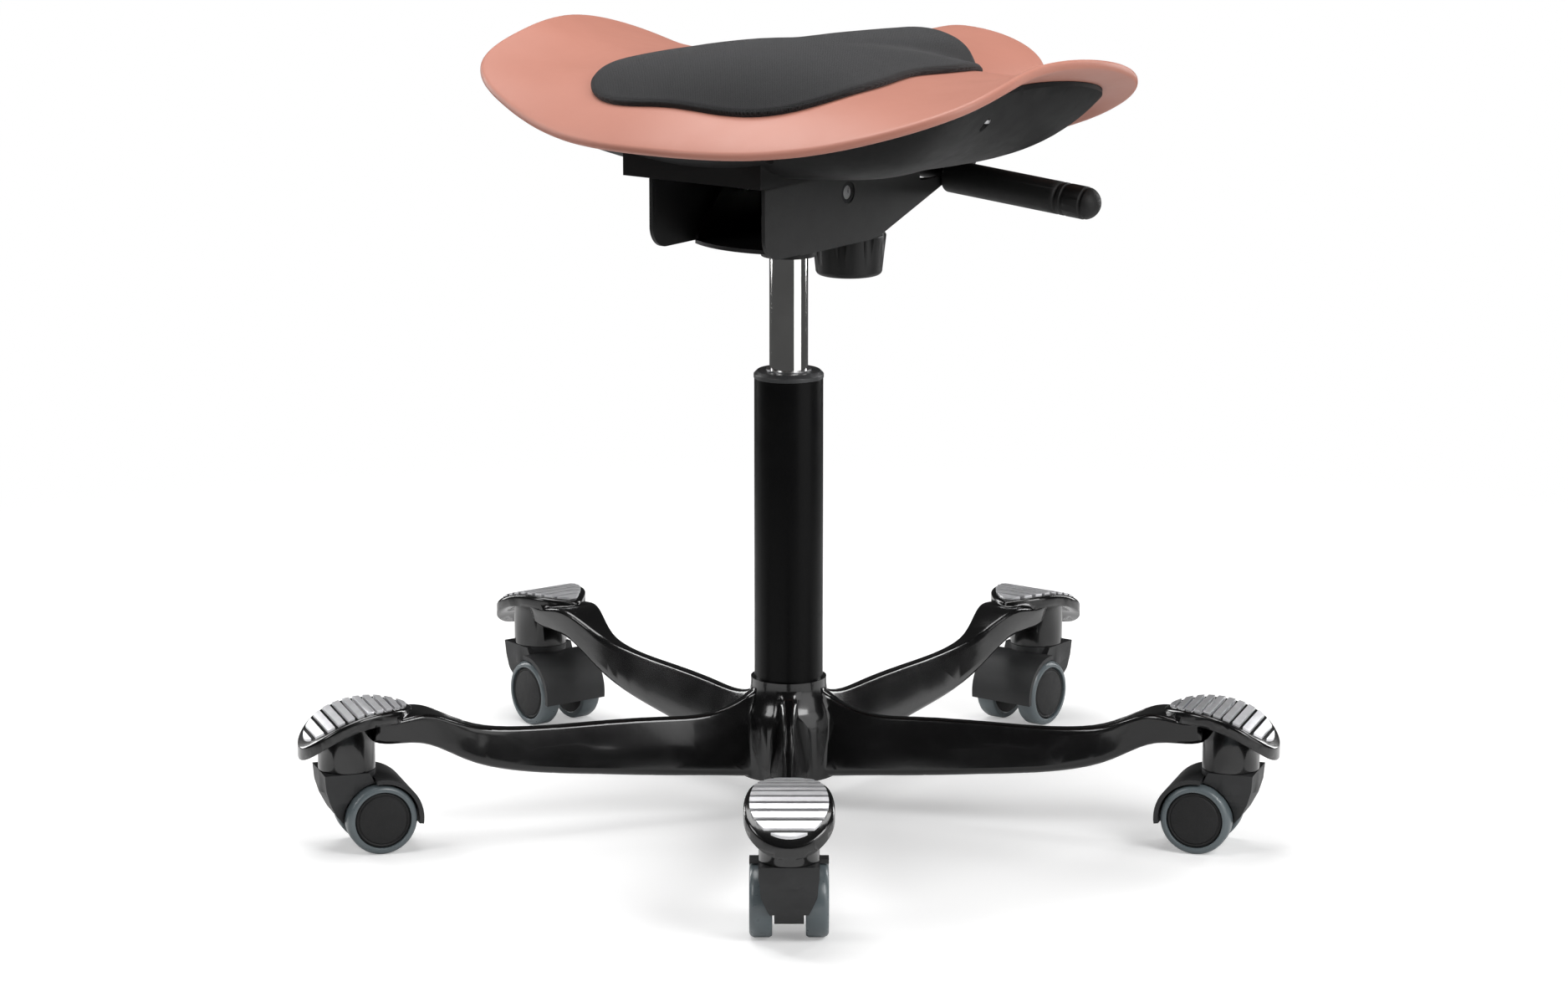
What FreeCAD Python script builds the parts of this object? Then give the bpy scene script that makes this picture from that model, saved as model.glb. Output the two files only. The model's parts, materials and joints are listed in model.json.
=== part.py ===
import FreeCAD, Part
import math
import os
import Sketcher

from FreeCAD import Placement, Rotation, Vector

# Saddle stool. Millimetres and degrees, +Z up, origin on the floor under the column.
# Seat and mechanism are drawn with +X towards the nose and +Y to the rider's left,
# then turned about the column by seat_yaw. Legs are drawn along +X, then turned.

# Rim of the seat shell from nose to back: how far forward, half width, height
rimStations = (
    ("nose", 227, 0, 556),
    ("nose_side", 224, 73, 529),
    ("thigh", 181, 95, 503),
    ("wing_front", 148, 190, 528),
    ("wing_corner", 108, 223, 552),
    ("wing", -16, 221, 567),
    ("hip", -94, 207, 545),
    ("haunch", -124, 165, 528),
    ("back", -172, 0, 510),
)

# Outline of the pad as distance from the column axis at an angle from the nose
padStations = (
    ("pad_nose", 0, 171),
    ("pad_fore", 30, 151),
    ("pad_waist", 50, 136),
    ("pad_side", 80, 106),
    ("pad_rear", 120, 127),
    ("pad_corner", 145, 146),
    ("pad_back", 180, 139),
)

# Arm sections: distance out, top height, bottom height, top width, bottom width
armStations = (
    ("root", 22, 96, 30, 12, 30),
    ("flare", 34, 88, 30, 10, 29),
    ("shoulder", 52, 79.5, 31.5, 8, 28),
    ("upper", 95, 77, 35, 8, 26),
    ("middle", 155, 78, 41, 8, 24),
    ("knee", 214, 79.5, 49, 9, 21),
    ("rise", 238, 83.5, 56, 14, 20),
    ("neck", 258, 91.5, 66, 24, 22),
    ("collar", 278, 98, 75, 36, 26),
    ("end", 314, 99, 80, 46, 34),
)

# Top line of a foot pad: distance out and height
footTop = (
    ("heel", 272, 95),
    ("instep", 291, 102.6),
    ("crest", 305, 104),
    ("fore", 318, 103.4),
    ("mid", 330, 101),
    ("ball", 342, 96.6),
    ("toe", 353, 90),
    ("brow", 361, 83),
    ("tip", 372, 71),
)

# Outline of a foot pad in plan: distance out and half width
footPlan = (
    ("heel", 283, 0),
    ("instep", 290, 13),
    ("crest", 303, 23.5),
    ("fore", 320, 28.6),
    ("ball", 336, 30.5),
    ("toe", 352, 27.5),
    ("brow", 362, 17),
    ("tip", 366, 0),
)

plainSizes = {
    "seat_yaw": 54,
    "fit_gap": 0.05,
    "face_gap": 0.3,
    "saddle_height": 554,
    "saddle_fall": 38,
    "saddle_span": 200,
    "rim_power": 3.5,
    "shell_thickness": 7,
    "rim_round": 3.2,
    "pad_edge": 5,
    "pad_crown": 4.5,
    "pad_round": 4,
    "tray_inset": 25,
    "tray_wall": 3.5,
    "tray_power": 5,
    "plinth_back": 116,
    "plinth_front": 100,
    "plinth_half": 60,
    "plinth_floor": 6,
    "boss_radius": 9,
    "screw_radius": 2,
    "screw_head": 4,
    "screw_edge": 15,
    "screw_bite": 5,
    "bolt_radius": 3,
    "bolt_head": 5,
    "bolt_head_height": 4,
    "bolt_reach": 18,
    "bolt_back": 70,
    "bolt_front": 60,
    "bolt_half": 34,
    "bracket_half": 50.7,
    "bracket_sheet": 3,
    "bracket_top": 479,
    "bracket_bottom": 425,
    "bracket_back": 98,
    "bracket_bend": 40,
    "bracket_front": 122,
    "bracket_front_bottom": 453,
    "bracket_notch": 92,
    "bracket_notch_level": 459.5,
    "bracket_round": 16,
    "bracket_bay": 32,
    "channel_half": 46.4,
    "channel_sheet": 3,
    "channel_bottom": 423,
    "channel_back": 50,
    "channel_bulge": 14,
    "channel_front": 118,
    "channel_front_bottom": 449,
    "channel_front_top": 458,
    "channel_ear_half": 13,
    "channel_ear_top": 470,
    "channel_back_top": 430,
    "pivot_forward": 2,
    "pivot_height": 462,
    "pivot_radius": 5,
    "pivot_head": 7,
    "pivot_head_height": 4,
    "bush_wall": 3,
    "bush_flange": 2,
    "bush_flange_height": 1,
    "block_back": 137,
    "block_front": 155,
    "block_half": 40,
    "block_bottom": 458.5,
    "loop_centre": 146,
    "loop_width": 10,
    "loop_bar": 3.2,
    "loop_outer": 7.2,
    "loop_height": 469,
    "loop_reach": 61,
    "loop_inside": 8,
    "socket_radius": 20,
    "socket_bottom": 412,
    "cylinder_radius": 14,
    "cylinder_wall": 2,
    "cylinder_bottom": 160,
    "cylinder_top": 440,
    "cylinder_taper": 0.8,
    "cylinder_end": 9,
    "rod_radius": 4,
    "rod_bottom": 30.5,
    "rod_top": 300,
    "rod_clip": 7,
    "rod_clip_height": 2,
    "rod_collar": 9,
    "rod_collar_height": 3,
    "piston_height": 10,
    "piston_gap": 0.2,
    "valve_radius": 3,
    "valve_inside": 4,
    "valve_proud": 10.3,
    "tube_radius": 25,
    "tube_wall": 2,
    "tube_bottom": 33,
    "tube_floor": 4,
    "tube_top": 323,
    "guide_length": 83,
    "guide_lip": 16.5,
    "guide_lip_height": 6.5,
    "collar_radius": 25.4,
    "collar_height": 5.5,
    "collar_bevel": 2.6,
    "bearing_radius": 11,
    "bearing_washer": 1.5,
    "bearing_gap": 0.2,
    "bearing_room": 3,
    "ball_radius": 1.48,
    "ball_circle": 8,
    "lever_shaft": 4,
    "lever_side": 26,
    "lever_height": 461,
    "lever_forward": 128,
    "lever_slope": 4.6,
    "lever_bar": 5,
    "lever_bar_reach": 120,
    "grip_radius": 12,
    "grip_start": 52,
    "grip_length": 130,
    "grip_groove": 1.1,
    "grip_groove_pitch": 5.4,
    "lug_thickness": 4,
    "lug_back": 14,
    "lug_front": 98,
    "lug_half": 8,
    "lug_top": 467,
    "knob_forward": 75,
    "knob_radius": 27.3,
    "knob_foot_radius": 24.5,
    "knob_bottom": 387,
    "knob_height": 32,
    "knob_dome": 3,
    "knob_flute": 6,
    "knob_shoulder": 10,
    "knob_shoulder_height": 1.7,
    "tension_bolt": 4,
    "tension_bolt_top": 468,
    "cup_radius": 12,
    "cup_top": 440,
    "spring_radius": 8.5,
    "spring_wire": 1.2,
    "spring_pitch": 3.4,
    "plate_bottom": 456.3,
    "plate_thickness": 4,
    "plate_length": 34,
    "plate_width": 28,
    "hub_radius": 34,
    "hub_foot_radius": 36,
    "hub_bottom": 29,
    "hub_shoulder": 76,
    "hub_top": 101,
    "hub_lip": 2.6,
    "arm_top_round": 3,
    "arm_bottom_round": 5,
    "foot_thickness": 9,
    "foot_round": 2.5,
    "rib_first": 290,
    "rib_pitch": 7.2,
    "rib_width": 4.7,
    "rib_height": 1.8,
    "rib_inset": 4,
    "stem_circle": 331.5,
    "boss_outer": 20.5,
    "boss_bottom": 60,
    "socket_depth": 28,
    "stem_radius": 5.5,
    "stem_in_base": 26,
    "stem_in_housing": 13,
    "trail": 20,
    "wheel_radius": 25.4,
    "tread_depth": 5,
    "wheel_inner_face": 11.3,
    "wheel_outer_face": 26.8,
    "wheel_gap": 1.2,
    "axle_radius": 4,
    "axle_half": 21.7,
    "housing_gap": 0.5,
    "cup_height": 15,
    "web_half": 10,
    "fender_thickness": 3.2,
    "fender_half": 26.8,
}

ribCount = 11
grooveCount = 7
legCount = 5
ballCount = 8
fluteCount = 8

doc = FreeCAD.newDocument("saddle_stool")
sheet = doc.addObject("Spreadsheet::Sheet", "sizes")
sheetRow = 0


def addSize(name, value):
    global sheetRow
    sheetRow += 1
    sheet.set("A%d" % sheetRow, name)
    sheet.set("B%d" % sheetRow, str(value))
    sheet.setAlias("B%d" % sheetRow, name)


for name, reach, half, height in rimStations:
    addSize(name + "_reach", reach)
    addSize(name + "_half", half)
    addSize(name + "_height", height)
for name, angle, radius in padStations:
    addSize(name + "_angle", angle)
    addSize(name + "_radius", radius)
for name, out, top, bottom, topWidth, bottomWidth in armStations:
    addSize("arm_" + name + "_out", out)
    addSize("arm_" + name + "_top", top)
    addSize("arm_" + name + "_bottom", bottom)
    addSize("arm_" + name + "_top_width", topWidth)
    addSize("arm_" + name + "_bottom_width", bottomWidth)
for name, out, height in footTop:
    addSize("foot_" + name + "_out", out)
    addSize("foot_" + name + "_height", height)
for name, out, half in footPlan:
    addSize("plan_" + name + "_out", out)
    addSize("plan_" + name + "_half", half)
for name, value in plainSizes.items():
    addSize(name, value)
doc.recompute()


def size(name):
    return float(sheet.get(name))


# Sums of sizes, written as words: "tube_radius - tube_wall"

def isNumber(word):
    return word.replace(".", "", 1).isdigit()


def amount(words):
    total = 0.0
    sign = 1.0
    for word in words.split():
        if word == "+":
            sign = 1.0
        elif word == "-":
            sign = -1.0
        else:
            total += sign * (float(word) if isNumber(word) else size(word))
    return total


def formula(words):
    terms = []
    for word in words.split():
        known = word in "+-" or isNumber(word)
        terms.append(word if known else "sizes." + word)
    return " ".join(terms)


# A body turned about its own Z axis from corner points (radius, height)

def turned(label, corners, place=None):
    body = doc.addObject("PartDesign::Body", label)
    body.Label = label
    sketch = body.newObject("Sketcher::SketchObject", label + "_profile")
    plane = [item for item in body.Origin.OriginFeatures if item.Role == "XZ_Plane"][0]
    sketch.AttachmentSupport = (plane, [""])
    sketch.MapMode = "FlatFace"
    points = [Vector(amount(r), amount(z), 0) for r, z in corners]
    count = len(points)
    for index in range(count):
        sketch.addGeometry(Part.LineSegment(points[index], points[(index + 1) % count]), False)
    for index in range(count):
        joint = Sketcher.Constraint("Coincident", index, 2, (index + 1) % count, 1)
        sketch.addConstraint(joint)
    for index, (radius, height) in enumerate(corners):
        if radius == "0":
            sketch.addConstraint(Sketcher.Constraint("PointOnObject", index, 1, -2))
        else:
            across = Sketcher.Constraint("DistanceX", -1, 1, index, 1, points[index].x)
            number = sketch.addConstraint(across)
            sketch.setExpression("Constraints[%d]" % number, formula(radius))
        if height == "0":
            sketch.addConstraint(Sketcher.Constraint("PointOnObject", index, 1, -1))
        else:
            up = Sketcher.Constraint("DistanceY", -1, 1, index, 1, points[index].y)
            number = sketch.addConstraint(up)
            sketch.setExpression("Constraints[%d]" % number, formula(height))
    turn = body.newObject("PartDesign::Revolution", label + "_turn")
    turn.Profile = sketch
    turn.ReferenceAxis = (sketch, ["V_Axis"])
    turn.Angle = 360
    body.Tip = turn
    if place is not None:
        body.Placement = place
    return body


def formed(label, shape, place=None):
    piece = doc.addObject("Part::Feature", label)
    piece.Label = label
    piece.Shape = shape
    if place is not None:
        piece.Placement = place
    return piece


def box(x0, x1, y0, y1, z0, z1):
    return Part.makeBox(x1 - x0, y1 - y0, z1 - z0, Vector(x0, y0, z0))


def rodBetween(start, end, radius):
    return Part.makeCylinder(radius, (end - start).Length, start, end - start)


# Closed wire through flat corners, each corner rounded by its own radius

def roundedWire(corners, radii):
    count = len(corners)
    starts = []
    mids = []
    ends = []
    for index in range(count):
        corner = corners[index]
        back = (corners[index - 1] - corner).normalize()
        ahead = (corners[(index + 1) % count] - corner).normalize()
        half = back.getAngle(ahead) / 2
        trim = radii[index] / math.tan(half)
        bisector = (back + ahead).normalize()
        centre = corner + bisector * (radii[index] / math.sin(half))
        starts.append(corner + back * trim)
        ends.append(corner + ahead * trim)
        mids.append(centre - bisector * radii[index])
    edges = []
    for index in range(count):
        if radii[index] > 0:
            edges.append(Part.Arc(starts[index], mids[index], ends[index]).toShape())
        edges.append(Part.LineSegment(ends[index], starts[(index + 1) % count]).toShape())
    return Part.Wire(edges)


def prism(corners, radii, direction):
    return Part.Face(roundedWire(corners, radii)).extrude(direction)


# Extrusion along Y, centred, of a side view given as (x, z)

def sideSlab(outline, radii, half):
    corners = [Vector(x, -half, z) for x, z in outline]
    return prism(corners, radii, Vector(0, 2 * half, 0))


def smoothLoop(points):
    curve = Part.BSplineCurve()
    curve.interpolate(Points=points, PeriodicFlag=True)
    return Part.Wire(curve.toShape())


def upright(points, bottom, top):
    flat = [Vector(x, y, bottom) for x, y in points]
    return Part.Face(smoothLoop(flat)).extrude(Vector(0, 0, top - bottom))


# Smooth even function of the angle round the seat, through (angle, value) pairs

class AroundSeat:
    def __init__(self, pairs):
        turn = 2 * math.pi
        left = [(math.radians(angle), value) for angle, value in pairs]
        right = [(turn - angle, value) for angle, value in left[-2:0:-1]]
        laps = [(angle + lap * turn, value) for lap in (-1, 0, 1) for angle, value in left + right]
        self.curve = Part.BSplineCurve()
        self.curve.interpolate(Points=[Vector(value, 0, 0) for angle, value in laps],
                               Parameters=[angle for angle, value in laps])

    def at(self, angle):
        return self.curve.value(angle % (2 * math.pi)).x


rimPlaces = [(size(name + "_reach"), size(name + "_half"), size(name + "_height"))
             for name, reach, half, height in rimStations]
rimAngles = [math.degrees(math.atan2(half, reach)) for reach, half, height in rimPlaces]
rimRadius = AroundSeat([(angle, math.hypot(place[0], place[1]))
                        for angle, place in zip(rimAngles, rimPlaces)])
rimHeight = AroundSeat([(angle, place[2]) for angle, place in zip(rimAngles, rimPlaces)])
padRadius = AroundSeat([(size(name + "_angle"), size(name + "_radius"))
                        for name, angle, radius in padStations])


def ridge(y):
    return size("saddle_height") - size("saddle_fall") * (y / size("saddle_span")) ** 2


# Grows as a power inside the rim and in a straight line beyond it

def easedPower(share, power):
    if share > 1:
        return 1 + power * (share - 1)
    return share ** power


def seatTop(x, y):
    angle = math.atan2(y, x)
    radius = rimRadius.at(angle)
    lift = rimHeight.at(angle) - ridge(radius * math.sin(angle))
    return ridge(y) + lift * easedPower(math.hypot(x, y) / radius, size("rim_power"))


def seatUnder(x, y):
    step = 2.0
    slopeX = (seatTop(x + step, y) - seatTop(x - step, y)) / (2 * step)
    slopeY = (seatTop(x, y + step) - seatTop(x, y - step)) / (2 * step)
    return seatTop(x, y) - size("shell_thickness") * math.sqrt(1 + slopeX ** 2 + slopeY ** 2)


def trayRadius(angle):
    return rimRadius.at(angle) - size("tray_inset")


def trayBottom(x, y):
    angle = math.atan2(y, x)
    radius = trayRadius(angle)
    edge = seatUnder(radius * math.cos(angle), radius * math.sin(angle))
    edge -= size("face_gap") + size("tray_wall")
    rise = edge - size("bracket_top")
    share = math.hypot(x, y) / radius
    return size("bracket_top") + rise * easedPower(share, size("tray_power"))


def trayTop(x, y):
    return trayBottom(x, y) + size("tray_wall")


def shellSeat(x, y):
    return seatUnder(x, y) - size("face_gap")


def padBottom(x, y):
    return seatTop(x, y) + size("face_gap")


def padTop(x, y):
    share = min(1.0, math.hypot(x, y) / padRadius.at(math.atan2(y, x)))
    return padBottom(x, y) + size("pad_edge") + size("pad_crown") * (1 - share ** 2)


# Solid between two height functions over the rectangle of the seat

gridStep = 13.0
gridBack = size("back_reach") - 2 * gridStep
gridSide = size("wing_half") + 2 * gridStep
gridRows = int((size("nose_reach") + 2 * gridStep - gridBack) / gridStep) + 1
gridColumns = int(2 * gridSide / gridStep) + 1


def heightFace(height):
    rows = []
    for row in range(gridRows):
        x = gridBack + row * gridStep
        rows.append([height(x, -gridSide + column * gridStep) for column in range(gridColumns)])
    surface = Part.BSplineSurface()
    surface.interpolate(rows, gridBack, gridStep, -gridSide, gridStep)
    return surface


def between(lower, upper):
    low = heightFace(lower)
    high = heightFace(upper)
    faces = [low.toShape(), high.toShape()]
    for pick in ("uIso", "vIso"):
        for end in (0, 1):
            lowBounds = low.bounds()
            highBounds = high.bounds()
            place = (0 if pick == "uIso" else 2) + end
            lowEdge = getattr(low, pick)(lowBounds[place]).toShape()
            highEdge = getattr(high, pick)(highBounds[place]).toShape()
            faces.append(Part.makeRuledSurface(lowEdge, highEdge))
    shell = Part.makeShell(faces)
    shell.sewShape()
    solid = Part.makeSolid(shell)
    if solid.Volume < 0:
        solid.reverse()
    return solid


def around(radius, count=48):
    points = []
    for index in range(count):
        angle = 2 * math.pi * index / count
        points.append((radius(angle) * math.cos(angle), radius(angle) * math.sin(angle)))
    return points


# Edges that run all round the outline, highest first

def rimEdges(solid, least):
    long = [edge for edge in solid.Edges if edge.Length > least]
    return sorted(long, key=lambda edge: -edge.BoundBox.Center.z)


seatTurn = Placement(Vector(0, 0, 0), Rotation(Vector(0, 0, 1), size("seat_yaw")))
lowest = size("block_bottom") - 60
highest = size("saddle_height") + 120

# Screws that hold the tray to the shell, near the tray's edge

screwAngles = (38, 96, 150, -38, -96, -150)


def screwPlaces():
    places = []
    for angle in screwAngles:
        turn = math.radians(angle)
        reach = trayRadius(turn) - size("screw_edge")
        places.append((reach * math.cos(turn), reach * math.sin(turn)))
    return places


def screwSeat(x, y):
    return trayBottom(x, y) + size("screw_head")


def boltPlaces():
    return [(x, y) for x in (-size("bolt_back"), size("bolt_front"))
            for y in (-size("bolt_half"), size("bolt_half"))]


def makeShell():
    outline = around(rimRadius.at)
    shell = between(seatUnder, seatTop).common(upright(outline, lowest, highest))
    shell = shell.makeFillet(size("rim_round"), rimEdges(shell, 4 * size("wing_half")))
    for x, y in screwPlaces():
        depth = seatUnder(x, y) + size("screw_bite") + size("fit_gap")
        hole = Part.makeCylinder(size("screw_radius") + size("fit_gap"), depth - lowest,
                                 Vector(x, y, lowest))
        shell = shell.cut(hole)
    return shell


def makePad():
    outline = around(padRadius.at)
    pad = between(padBottom, padTop).common(upright(outline, lowest, highest))
    return pad.makeFillet(size("pad_round"), rimEdges(pad, 4 * size("pad_side_radius"))[:1])


def makeTray():
    outline = upright(around(trayRadius), lowest, highest)
    skin = between(trayBottom, trayTop)
    underSkin = between(lambda x, y: lowest, trayTop)
    underShell = between(lambda x, y: lowest, shellSeat)
    wall = size("tray_wall")
    level = size("bracket_top")
    plinth = box(-size("plinth_back"), size("plinth_front"), -size("plinth_half"),
                 size("plinth_half"), level, highest)
    hollow = box(-size("plinth_back") + wall, size("plinth_front") - wall,
                 -size("plinth_half") + wall, size("plinth_half") - wall,
                 level + size("plinth_floor"), highest)
    block = box(size("block_back"), size("block_front"), -size("block_half"),
                size("block_half"), size("block_bottom"), highest)
    tray = skin.fuse([plinth.cut(hollow).common(underSkin), block.common(underSkin)])
    bosses = []
    for x, y in boltPlaces():
        boss = Part.makeCylinder(size("boss_radius"), highest - level, Vector(x, y, level))
        bosses.append(boss.common(underShell))
    belowSkin = underSkin.cut(skin)
    for x, y in screwPlaces():
        boss = Part.makeCylinder(size("screw_head") + 2, highest - level, Vector(x, y, level))
        bosses.append(boss.common(underShell).cut(belowSkin))
    tray = tray.fuse(bosses).common(outline)
    cuts = []
    for x, y in boltPlaces():
        cuts.append(Part.makeCylinder(size("bolt_radius") + size("fit_gap"),
                                      size("bolt_reach") + 1, Vector(x, y, level)))
    for x, y in screwPlaces():
        cuts.append(Part.makeCylinder(size("screw_radius") + size("fit_gap"),
                                      highest - lowest, Vector(x, y, lowest)))
        cuts.append(Part.makeCylinder(size("screw_head") + size("fit_gap"),
                                      screwSeat(x, y) - lowest, Vector(x, y, lowest)))
    gap = size("face_gap")
    halfWidth = size("loop_width") / 2 + gap
    halfHeight = size("loop_outer") + gap
    cuts.append(box(size("loop_centre") - halfWidth, size("loop_centre") + halfWidth,
                    -size("block_half") - 1, size("loop_inside") + gap,
                    size("loop_height") - halfHeight, size("loop_height") + halfHeight))
    return tray.cut(cuts)


def makeScrews():
    screws = []
    for x, y in screwPlaces():
        seat = screwSeat(x, y)
        top = seatUnder(x, y) + size("screw_bite")
        shank = Part.makeCylinder(size("screw_radius"), top - seat, Vector(x, y, seat))
        head = Part.makeCone(size("screw_head") - 1, size("screw_head"), 2.5,
                             Vector(x, y, seat - 2.5))
        screws.append(head.fuse(shank))
    return Part.makeCompound(screws)


def makeBolts():
    bolts = []
    under = size("bracket_top") - size("bracket_sheet")
    for x, y in boltPlaces():
        corners = []
        for step in range(6):
            turn = math.radians(60 * step)
            across = size("bolt_head") / math.cos(math.radians(30))
            corners.append(Vector(x + across * math.cos(turn), y + across * math.sin(turn),
                                  under - size("bolt_head_height")))
        head = prism(corners, [0.4] * 6, Vector(0, 0, size("bolt_head_height")))
        shank = Part.makeCylinder(size("bolt_radius"),
                                  size("bracket_sheet") + size("bolt_reach"), Vector(x, y, under))
        bolts.append(head.fuse(shank))
    return Part.makeCompound(bolts)


def makeBracket():
    half = size("bracket_half")
    sheetThickness = size("bracket_sheet")
    top = size("bracket_top")
    outline = [(-size("bracket_back"), top),
               (-size("bracket_back"), size("bracket_bottom")),
               (size("bracket_bend"), size("bracket_bottom")),
               (size("bracket_front"), size("bracket_front_bottom")),
               (size("bracket_front"), size("bracket_notch_level")),
               (size("bracket_notch"), size("bracket_notch_level")),
               (size("bracket_notch"), top)]
    radii = [0, size("bracket_round"), size("bracket_round"), 2, 2, 3, 0]
    plates = sideSlab(outline, radii, half)
    folds = [edge for edge in plates.Edges
             if abs(edge.BoundBox.ZMin - top) < 0.01 and edge.BoundBox.XLength > half]
    plates = plates.makeFillet(sheetThickness + 1.5, folds)
    inner = box(-size("bracket_back") - 1, size("bracket_front") + 1, -half + sheetThickness,
                half - sheetThickness, lowest, top - sheetThickness)
    along = [edge for edge in inner.Edges
             if abs(edge.BoundBox.ZMin - top + sheetThickness) < 0.01
             and edge.BoundBox.XLength > half]
    bracket = plates.cut(inner.makeFillet(1.5, along))
    bay = Part.makeCylinder(size("bracket_bay"), 3 * sheetThickness,
                            Vector(-size("bracket_back"), 0, top - 2 * sheetThickness))
    hole = rodBetween(Vector(size("pivot_forward"), -half - 1, size("pivot_height")),
                      Vector(size("pivot_forward"), half + 1, size("pivot_height")),
                      size("pivot_radius") + size("bush_wall") + size("fit_gap"))
    cuts = [bay, hole]
    for x, y in boltPlaces():
        cuts.append(Part.makeCylinder(size("bolt_radius") + size("fit_gap"),
                                      3 * sheetThickness, Vector(x, y, top - 2 * sheetThickness)))
    return bracket.cut(cuts)


def channelLine(rise):
    return [(-size("channel_back") - 40, size("channel_bottom") + rise),
            (size("bracket_bend"), size("channel_bottom") + rise),
            (size("channel_front"), size("channel_front_bottom") + rise)]


def makeChannel():
    half = size("channel_half")
    thickness = size("channel_sheet")
    tall = size("bracket_top") - size("bracket_sheet")
    above = [(size("channel_front"), tall), (-size("channel_back") - 40, tall)]
    space = sideSlab(channelLine(0) + above, [0, 20, 0, 0, 0], half)
    inner = sideSlab(channelLine(thickness) + above, [0, 20, 0, 0, 0], half - thickness)
    forward = size("pivot_forward")
    wallTop = [(-size("channel_back"), lowest), (size("channel_front"), lowest),
               (size("channel_front"), size("channel_front_top")),
               (forward + size("channel_ear_half"), size("channel_ear_top")),
               (forward - size("channel_ear_half"), size("channel_ear_top")),
               (-size("channel_back"), size("channel_back_top"))]
    walls = space.cut(inner).common(sideSlab(wallTop, [0, 0, 3, 8, 8, 6], half + 1))
    bulge = size("channel_bulge")
    sweep = (half ** 2 + bulge ** 2) / (2 * bulge)
    tongue = Part.makeCylinder(sweep, thickness, Vector(
        sweep - size("channel_back") - bulge, 0, size("channel_bottom")))
    tongue = tongue.common(box(-size("channel_back") - bulge - 1, 0, -half, half,
                               lowest, highest))
    lugs = []
    for x in (size("lug_back"), size("lug_front")):
        lug = box(x, x + size("lug_thickness"), -size("lever_side") - size("lug_half"),
                  -size("lever_side") + size("lug_half"), lowest, size("lug_top"))
        lugs.append(lug.common(space))
    cupBottom = size("knob_bottom") + size("knob_height") + size("knob_shoulder_height")
    cupBottom += size("face_gap")
    cup = Part.makeCylinder(size("cup_radius"), size("cup_top") - cupBottom,
                            Vector(size("knob_forward"), 0, cupBottom))
    channel = walls.fuse([tongue, cup] + lugs)
    gap = size("fit_gap")
    cuts = [
        Part.makeCylinder(size("socket_radius") + gap, 3 * thickness,
                          Vector(0, 0, size("channel_bottom") - thickness)),
        Part.makeCylinder(size("tension_bolt") + gap, highest - lowest,
                          Vector(size("knob_forward"), 0, lowest)),
        rodBetween(Vector(forward, -half - 1, size("pivot_height")),
                   Vector(forward, half + 1, size("pivot_height")), size("pivot_radius") + gap),
        rodBetween(Vector(0, -size("lever_side"), size("lever_height")),
                   Vector(size("channel_front") + 1, -size("lever_side"), size("lever_height")),
                   size("lever_shaft") + gap),
    ]
    return channel.cut(cuts).removeSplitter()


def bothSides(shape):
    return Part.makeCompound([shape, shape.mirror(Vector(0, 0, 0), Vector(0, 1, 0))])


def ringAcross(near, far, outer, inner):
    start = Vector(size("pivot_forward"), near, size("pivot_height"))
    end = Vector(size("pivot_forward"), far, size("pivot_height"))
    ring = rodBetween(start, end, outer)
    if inner > 0:
        ring = ring.cut(rodBetween(start, end, inner))
    return ring


def makePivotPins():
    wall = size("channel_half") - size("channel_sheet")
    head = ringAcross(wall - size("pivot_head_height"), wall, size("pivot_head"), 0)
    shank = ringAcross(wall, size("bracket_half") - 1, size("pivot_radius"), 0)
    return bothSides(head.fuse(shank))


def makeBushes():
    face = size("bracket_half") - size("bracket_sheet")
    inner = size("pivot_radius") + size("fit_gap")
    outer = size("pivot_radius") + size("bush_wall")
    flange = ringAcross(face - size("bush_flange_height"), face,
                        outer + size("bush_flange"), inner)
    sleeve = ringAcross(face, size("bracket_half") - 0.5, outer, inner)
    return bothSides(flange.fuse(sleeve))


def makeLoop():
    outer = size("loop_outer")
    inner = outer - size("loop_bar")
    tipCentre = -size("loop_reach") + outer
    back = size("loop_centre") - size("loop_width") / 2
    level = size("loop_height")

    def slotShape(radius):
        stretch = box(back, back + size("loop_width"), tipCentre, size("loop_inside") + outer,
                      level - radius, level + radius)
        nose = Part.makeCylinder(radius, size("loop_width"), Vector(back, tipCentre, level),
                                 Vector(1, 0, 0))
        return stretch.fuse(nose)

    loop = slotShape(outer).cut(slotShape(inner)).removeSplitter()
    return loop.common(box(back, back + size("loop_width"), -size("loop_reach"),
                           size("loop_inside"), lowest, highest))


def leverDirection():
    slope = math.radians(size("lever_slope"))
    return Vector(0, -math.cos(slope), -math.sin(slope))


def leverCorner():
    return Vector(size("lever_forward"), -size("lever_side"), size("lever_height"))


def makeLever():
    radius = size("lever_shaft")
    corner = leverCorner()
    inner = Vector(0, -size("lever_side"), size("lever_height"))
    valveTop = size("cylinder_top") + size("valve_proud")
    drop = size("lever_height") - valveTop - size("face_gap") - radius
    tip = inner + Vector(0, size("lever_side"), -drop)
    outerEnd = corner + leverDirection() * size("lever_bar_reach")
    pieces = [rodBetween(inner, corner, radius), rodBetween(inner, tip, radius),
              Part.makeSphere(radius, inner), Part.makeSphere(radius, tip),
              Part.makeSphere(size("lever_bar"), corner),
              rodBetween(corner, outerEnd, size("lever_bar"))]
    return pieces[0].multiFuse(pieces[1:]).removeSplitter()


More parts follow.
